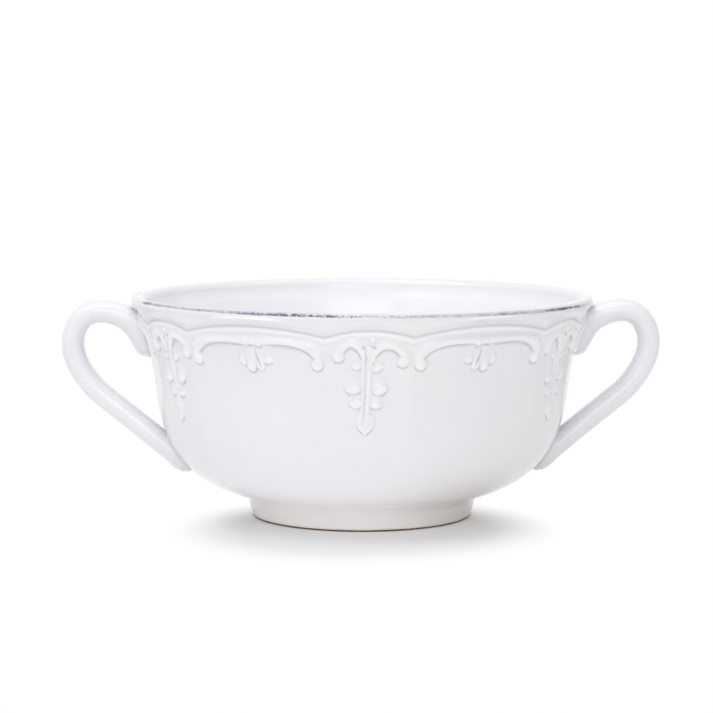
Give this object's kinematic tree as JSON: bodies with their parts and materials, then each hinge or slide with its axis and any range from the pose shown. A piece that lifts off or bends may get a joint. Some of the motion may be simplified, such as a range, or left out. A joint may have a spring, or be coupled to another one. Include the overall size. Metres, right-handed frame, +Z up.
{
  "type": "two-handled soup bowl",
  "caption": "Footed lug soup bowl of white glazed earthenware with two loop handles and a relief frieze of scrolls and hanging husks under its lip.",
  "frame": {"origin": "on the table under the middle of the foot ring", "axes": "+Z up, +X through the two handles, -Y towards the front pendant of the relief"},
  "size_m": [0.1894, 0.145, 0.07],
  "materials": {
    "white_glaze": "glossy white glaze, faintly cool",
    "worn_glaze": "glossy white glaze, worn dark along the lip",
    "foot_glaze": "glossy white glaze with an unglazed brown resting edge"
  },
  "bodies": {
    "root": {"bowl": "worn_glaze", "rim_band": "white_glaze", "foot_ring": "foot_glaze", "handle_left": "white_glaze", "handle_right": "white_glaze", "pendant_front": "white_glaze", "pendant_front_right": "white_glaze", "pendant_back_right": "white_glaze", "pendant_back": "white_glaze", "pendant_back_left": "white_glaze", "pendant_front_left": "white_glaze", "scroll_front_right_inner": "white_glaze", "scroll_front_right_outer": "white_glaze", "scroll_right_front": "white_glaze", "scroll_right_back": "white_glaze", "scroll_back_right_outer": "white_glaze", "scroll_back_right_inner": "white_glaze", "scroll_back_left_inner": "white_glaze", "scroll_back_left_outer": "white_glaze", "scroll_left_back": "white_glaze", "scroll_left_front": "white_glaze", "scroll_front_left_outer": "white_glaze", "scroll_front_left_inner": "white_glaze", "bellflower_front_right": "white_glaze", "bellflower_back_right": "white_glaze", "bellflower_back_left": "white_glaze", "bellflower_front_left": "white_glaze"}
  },
  "joints": []
}
